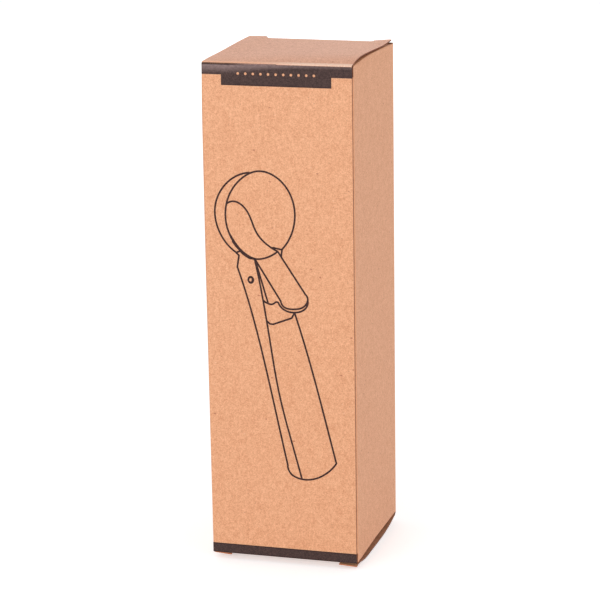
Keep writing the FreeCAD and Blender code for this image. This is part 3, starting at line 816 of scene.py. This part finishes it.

# The painted highlight on the sides along the rear folds and the painted shade on the rounded folds
# themselves.
# Each pair is how near to the carton's sides or ends they start and are full.
KRAFT_FOLD_HIGHLIGHT = paint(240, 168, 120)
FOLD_HIGHLIGHT_STRENGTH = 0.5
FOLD_HIGHLIGHT_SKIN = (0.12, 0.02)
FOLD_HIGHLIGHT_STRIP = (3.2, 0.6)
FOLD_SHADE = paint(206, 138, 100)
FOLD_SHADE_STRENGTH = 0.7
FOLD_SHADE_WIDTH = (0.9, 0.2)
FOLD_SHADE_DEPTH = (0.5, 0.2)

# The paler board beside and on a lid's crease, partly stretched board and partly painted highlight, its
# strip, and where its left half turns into its right half.
STRETCHED_LIT_LEFT = paint(236, 170, 132), paint(250, 188, 150)
STRETCHED_LIT_RIGHT = paint(250, 196, 166), paint(255, 220, 196)
STRETCHED_LIT_STRIP = (2.4, 1.44)
STRETCHED_LIT_SIDES = (-12.0, 12.0)

# The inner face and the cut edges, both darker partly by their own colour and partly by painted shade, with
# painted light on the cut edges of the ears that show below the front's foot. The two last pairs are how far
# below the wall's foot and how far in front of the front that starts and is full.
INSIDE = paint(176, 124, 90), paint(202, 150, 114)
INSIDE_FLECK = paint(136, 94, 66)
INSIDE_FLECK_STRENGTH = 0.5
EDGE = paint(104, 56, 38), paint(158, 98, 68)
EDGE_TONE = (0.32, 0.68)
EAR_EDGE_LIT = paint(176, 98, 58), paint(206, 132, 92)
EAR_EDGE_LIT_DROP = (0.35, 0.45)
EAR_EDGE_LIT_DEPTH = (-1.0, -0.5)

# The print of the bands, with painted shade near their edges and near the left fold, and the drawing's lines.
PRINT = paint(52, 36, 34), paint(83, 62, 58)
PRINT_TONE = (0.32, 0.68)
PRINT_RIM_SHADE = paint(36, 22, 23)
PRINT_RIM_SHADE_STRENGTH = 0.8
PRINT_RIM_SHADE_WIDTH = (0.6, 0.15)
PRINT_FOLD_SHADE_WIDTH = (-0.8, -0.1)
LINE = paint(44, 24, 22), paint(68, 41, 38)
LINE_TONE = (0.35, 0.65)

# The pale streak on the top band, partly rubbed wear and partly painted sheen. The pairs called sides are
# places across the band, between which it narrows, leaves a gap below the crease, or fades. The pair called
# end is where it is gone and where it is full, as the depth below the crease times the narrowness.
STREAK_WEAR_AND_SHEEN = paint(166, 140, 137)
STREAK_NARROWING_SIDES = (-22.0, 22.0)
STREAK_LEFT_NARROWNESS = 0.22
STREAK_NARROWING = 0.5
STREAK_END = (1.0, 0.1)
STREAK_GAP_SIDES = (-8.0, -22.0)
STREAK_GAP = (0.3, 0.6)
STREAK_FADE_SIDES = (30.0, -20.0)
STREAK_STRENGTH = (0.24, 0.64)
STREAK_PATCHES = (0.65, 1.1)


def stretched_and_highlit_kraft(finish, grain):
    """The paler face of the board on and beside a lid's crease, partly stretched board and partly painted
    highlight, palest towards the right.
    """
    tone = finish.ramp(grain, *TONE)
    left = finish.mix(tone, *STRETCHED_LIT_LEFT)
    right = finish.mix(tone, *STRETCHED_LIT_RIGHT)
    return finish.mix(finish.ramp(finish.along("X"), *STRETCHED_LIT_SIDES), left, right)


def lit_and_shaded_folds_kraft(finish, colour):
    """The sides' face, with a painted highlight beside the rear folds and painted shade on the folds."""
    across, along = abs(finish.along("X")), abs(finish.along("Y"))
    # Painted highlight on the sides beside the rear folds.
    fold_highlight = finish.close_to(across, HALF_WIDTH, *FOLD_HIGHLIGHT_SKIN) * finish.close_to(along, HALF_DEPTH, *FOLD_HIGHLIGHT_STRIP)
    colour = finish.mix(fold_highlight * FOLD_HIGHLIGHT_STRENGTH, colour, KRAFT_FOLD_HIGHLIGHT)
    # Painted shade on the rounded folds.
    near_side = finish.close_to(across, HALF_WIDTH, *FOLD_SHADE_WIDTH)
    near_end = finish.close_to(along, HALF_DEPTH, *FOLD_SHADE_DEPTH)
    return finish.mix(near_side * near_end * FOLD_SHADE_STRENGTH, colour, FOLD_SHADE)


def kraft_face(name, colours, crease=None):
    """The board's outer face: mottled pulp, fibres and flecks, with painted highlight and shade at the folds,
    or a pale crease strip that is partly stretched board and partly painted highlight.
    """
    finish = Finish(name, roughness=0.62)
    clouds = finish.noise(size=5.0, detail=2)
    mottle = finish.noise(size=1.3, detail=3, roughness=0.65)
    grain = finish.noise(size=0.55, detail=2, roughness=0.7)
    fibres = finish.noise(size=0.7, detail=3, vector=finish.stretched((1, 1, 0.12)))
    pattern = clouds * CLOUD_SHARE + mottle * MOTTLE_SHARE + grain * GRAIN_SHARE + fibres * FIBRE_SHARE
    colour = finish.mix(finish.ramp(pattern, *TONE), *colours)
    moved, drawn_out = finish.stretched((1, 1, 1), (11, 5, 3)), finish.stretched((0.6, 0.6, 1), (3, 7, 2))
    dark_flecks = finish.spots(spacing=2.6, size=0.34, share=0.35)
    light_flecks = finish.spots(spacing=3.1, size=0.38, share=0.35, vector=moved)
    red_fibres = finish.spots(spacing=5.0, size=0.45, share=0.8, vector=drawn_out)
    colour = finish.mix(dark_flecks * DARK_FLECK_STRENGTH, colour, FLECK_DARK)
    colour = finish.mix(light_flecks * LIGHT_FLECK_STRENGTH, colour, FLECK_LIGHT)
    colour = finish.mix(red_fibres * RED_FIBRE_STRENGTH, colour, FIBRE_RED)
    if crease is None:
        colour = lit_and_shaded_folds_kraft(finish, colour)
    else:
        # Beside a lid's crease the board is paler: partly stretched board, partly painted highlight.
        beside = finish.ramp(abs(finish.along("Y") - crease), *STRETCHED_LIT_STRIP)
        colour = finish.mix(beside, colour, stretched_and_highlit_kraft(finish, mottle))
    finish.feed("Base Color", colour)
    finish.bump(mixed(grain, fibres, share=0.6), depth=0.03, strength=0.35)
    return finish.material


def creased_kraft():
    """The rounded face of a lid's crease, pale partly as stretched board and partly as painted highlight."""
    finish = Finish("creased_kraft", roughness=0.55)
    grain = finish.noise(size=0.8, detail=3)
    finish.feed("Base Color", stretched_and_highlit_kraft(finish, grain))
    finish.bump(grain, depth=0.03, strength=0.35)
    return finish.material


def kraft_inside():
    """The duller, darker inner face of the board, partly its own colour and partly painted shade."""
    finish = Finish("kraft_inside", roughness=0.8)
    mottle = finish.noise(size=2.6, detail=4, roughness=0.6)
    fibres = finish.noise(size=0.9, detail=3, vector=finish.stretched((1, 1, 0.1)))
    # The inner colours hold painted shade as well as the board's own colour.
    colour = finish.mix(finish.ramp(mixed(mottle, fibres, share=0.6), *TONE), *INSIDE)
    flecks = finish.spots(spacing=2.2, size=0.4, share=0.4)
    finish.feed("Base Color", finish.mix(flecks * INSIDE_FLECK_STRENGTH, colour, INSIDE_FLECK))
    finish.bump(mixed(mottle, fibres, share=0.5), depth=0.04, strength=0.4)
    return finish.material


def raw_edge():
    """The cut edge of the board, layered and darker, partly by its own colour and partly by painted shade,
    with painted light on the bottom lid's ears.
    """
    finish = Finish("raw_edge", roughness=0.85)
    fray = finish.noise(size=0.35, detail=3)
    runs = finish.noise(size=3.0, detail=2)
    tone = finish.ramp(mixed(fray, runs, share=0.6), *EDGE_TONE)
    # Painted light on the cut edges of the bottom lid's ears below the front's foot.
    below_foot = finish.close_to(finish.along("Z"), WALL_FOOT, *EAR_EDGE_LIT_DROP)
    in_front = finish.close_to(finish.along("Y"), -HALF_DEPTH, *EAR_EDGE_LIT_DEPTH)
    colour = finish.mix(below_foot * in_front, finish.mix(tone, *EDGE), finish.mix(tone, *EAR_EDGE_LIT))
    finish.feed("Base Color", colour)
    finish.bump(fray, depth=0.06, strength=0.5)
    return finish.material


def worn_and_sheen_streak(finish, across, up):
    """The pale streak on the top band below its crease, partly rubbed wear and partly painted sheen, which
    fades and narrows to the right.
    """
    below = TOP_BAND_HIGH.z - up
    narrowness = STREAK_LEFT_NARROWNESS + finish.ramp(across, *STREAK_NARROWING_SIDES) * STREAK_NARROWING
    streak = finish.ramp(below * narrowness, *STREAK_END)
    gap = (1 - finish.ramp(below, *STREAK_GAP)) * finish.ramp(across, *STREAK_GAP_SIDES)
    strength = finish.ramp(across, *STREAK_FADE_SIDES, *STREAK_STRENGTH)
    wear_and_sheen_patches = finish.noise(size=0.8, detail=3, vector=finish.stretched((0.6, 1, 1)))
    return streak * (1 - gap) * strength * finish.ramp(wear_and_sheen_patches, *TONE, *STREAK_PATCHES)


def printed_ink():
    """Dark brown-black print, with painted shade along the bands' edges and at the left fold, and a pale
    streak below the top crease that is partly rubbed wear and partly painted sheen.
    """
    finish = Finish("print_ink", roughness=0.6, specular=0.2)
    across, up = finish.along("X"), finish.along("Z")
    mottle = finish.noise(size=0.9, detail=3, roughness=0.65)
    speckle = finish.noise(size=0.45, detail=2)
    colour = finish.mix(finish.ramp(mixed(mottle, speckle, share=0.5), *PRINT_TONE), *PRINT)
    # Painted shade at the left fold and along the bands' edges.
    rim_shade = finish.close_to(across, -HALF_WIDTH, *PRINT_FOLD_SHADE_WIDTH)
    for level in (BOTTOM_BAND_LOW.z, BOTTOM_BAND_HIGH.z, TOP_BAND_LOW.z, TOP_BAND_HIGH.z):
        rim_shade = rim_shade + finish.ramp(abs(up - level), *PRINT_RIM_SHADE_WIDTH)
    colour = finish.mix(finish.ramp(rim_shade, start=0, end=1) * PRINT_RIM_SHADE_STRENGTH, colour, PRINT_RIM_SHADE)
    # The pale streak: partly rubbed wear, partly painted sheen.
    finish.feed("Base Color", finish.mix(worn_and_sheen_streak(finish, across, up), colour, STREAK_WEAR_AND_SHEEN))
    finish.bump(speckle, depth=0.02, strength=0.3)
    return finish.material


def drawn_ink():
    """The solid ink of the drawing's fine lines."""
    finish = Finish("drawn_ink", roughness=0.6, specular=0.2)
    tone = finish.ramp(finish.noise(size=0.9, detail=3), *LINE_TONE)
    finish.feed("Base Color", finish.mix(tone, *LINE))
    return finish.material


def make_carton():
    """Dress the sleeve, the lids with their creases, and the print."""
    inside, edge, ink, lines = kraft_inside(), raw_edge(), printed_ink(), drawn_ink()
    panels, creased = kraft_face("kraft_board", KRAFT), creased_kraft()
    sleeve = finish_piece("carton_board", make_sleeve(), (panels, inside, edge), "carton")
    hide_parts("carton_sleeve")
    smooth(sleeve)
    for name, lid in LIDS.items():
        # The lids' face holds a painted sheen in its colours.
        face = kraft_face(f"kraft_{name}", LID_KRAFT_WITH_SHEEN, crease=lid["hinge"].y)
        board = finish_piece(f"{name}_board", make_lid(name), (face, inside, edge), name)
        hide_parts(name)
        smooth(board)
        mesh, start, end = make_crease(name)
        crease = finish_piece(f"{name}_crease", mesh, (creased, inside, edge, ink))
        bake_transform(crease)
        smooth(crease)
    for name, low, high in (("top_fold_print", TOP_BAND_HIGH.z - TOP_BAND_DROP, TOP_BAND_HIGH.z),
                            ("bottom_fold_print", BOTTOM_BAND_LOW.z, BOTTOM_BAND_HIGH.z)):
        wrap = finish_piece(name, make_fold_print(low, high), (ink,), "carton")
        smooth(wrap)
    heavy = finish_piece("heavy_lines", make_heavy_ink(), (lines,), "carton")
    prints = {"top_band_print": ink, "bottom_band_print": ink, "scoop_outline_print": lines}
    for name, finish in prints.items():
        node = frame["nodes"][name]
        node.data.materials.clear()
        node.data.materials.append(finish)


# The camera stands as in the photograph, in metres.
CAMERA_PLACE = Vector((0.29327, -0.99588, 0.37096))
CAMERA_FORWARD = Vector((-0.27474165, 0.92936528, -0.24657088))
CAMERA_RIGHT = Vector((0.95992206, 0.2798829, -0.0146697))
CAMERA_LENS = 151.48
CAMERA_SENSOR = 36

# The lamps, in metres and watts; the one on the right is a little blue.
LAMPS = {
    "key_lamp": dict(place=(-0.6, -1.5, 0.46), size=0.9, power=10.4, colour=(1, 1, 1)),
    "side_lamp": dict(place=(1.6, -0.4, 0.42), size=1.0, power=5.45, colour=(1.0, 0.985, 1.12)),
    "back_lamp": dict(place=(-0.43, 1.5, 0.55), size=0.8, power=2.5, colour=(1, 1, 1)),
}
LAMP_TARGET = Vector((0, 0, 0.11))

# The room lights the carton at one strength and looks white, and so does the floor, lifted by a little glow.
WHITE = (1, 1, 1, 1)
ROOM_LIGHT = 0.6
FLOOR_PAINT = (0.8, 0.8, 0.8, 1)
FLOOR_LIFT = 0.5
FLOOR_RADIUS = 6
FLOOR_SEGMENTS = 64


def make_camera():
    """The camera at the photograph's viewing angle."""
    camera = bpy.data.objects.new("camera", bpy.data.cameras.new("camera"))
    camera.data.lens = CAMERA_LENS
    camera.data.sensor_width = CAMERA_SENSOR
    upward = CAMERA_RIGHT.cross(CAMERA_FORWARD)
    turn = Matrix((CAMERA_RIGHT, upward, -CAMERA_FORWARD)).transposed()
    camera.matrix_world = Matrix.Translation(CAMERA_PLACE) @ turn.to_4x4()
    bpy.context.scene.collection.objects.link(camera)
    bpy.context.scene.camera = camera


def make_lamp(name, place, size, power, colour):
    """A soft square lamp that points at the middle of the carton."""
    lamp = bpy.data.objects.new(name, bpy.data.lights.new(name, "AREA"))
    lamp.data.size = size
    lamp.data.energy = power
    lamp.data.color = colour
    lamp.location = place
    lamp.visible_camera = False
    lamp.rotation_mode = "QUATERNION"
    lamp.rotation_quaternion = (Vector(place) - LAMP_TARGET).to_track_quat("Z", "Y")
    bpy.context.scene.collection.objects.link(lamp)


def make_room():
    """The white light all round, which looks fully white to the camera."""
    world = bpy.data.worlds.new("studio")
    world.use_nodes = True
    bpy.context.scene.world = world
    room = Nodes(world.node_tree)
    background = world.node_tree.nodes["Background"]
    background.inputs["Color"].default_value = WHITE
    room.link(room.node("ShaderNodeMix", inputs={0: room.seen_directly(), 2: ROOM_LIGHT, 3: 1.0}),
              background.inputs["Strength"])


def make_floor():
    """A white floor that keeps the carton's soft shadow."""
    bm = bmesh.new()
    bmesh.ops.create_circle(bm, cap_ends=True, segments=FLOOR_SEGMENTS, radius=FLOOR_RADIUS)
    mesh = bpy.data.meshes.new("floor")
    bm.to_mesh(mesh)
    bm.free()
    floor = bpy.data.objects.new("floor", mesh)
    bpy.context.scene.collection.objects.link(floor)
    paper = Finish("floor_paper", roughness=0.9, colour=FLOOR_PAINT, glow=WHITE)
    paper.feed("Emission Strength", paper.seen_directly() * FLOOR_LIFT)
    mesh.materials.append(paper.material)


for item in list(bpy.data.objects):
    if item.type in {"CAMERA", "LIGHT"} or item.name == "Cube":
        bpy.data.objects.remove(item)
make_carton()
make_camera()
make_room()
make_floor()
for name, lamp in LAMPS.items():
    make_lamp(name, **lamp)
bpy.context.scene.view_settings.view_transform = "Standard"
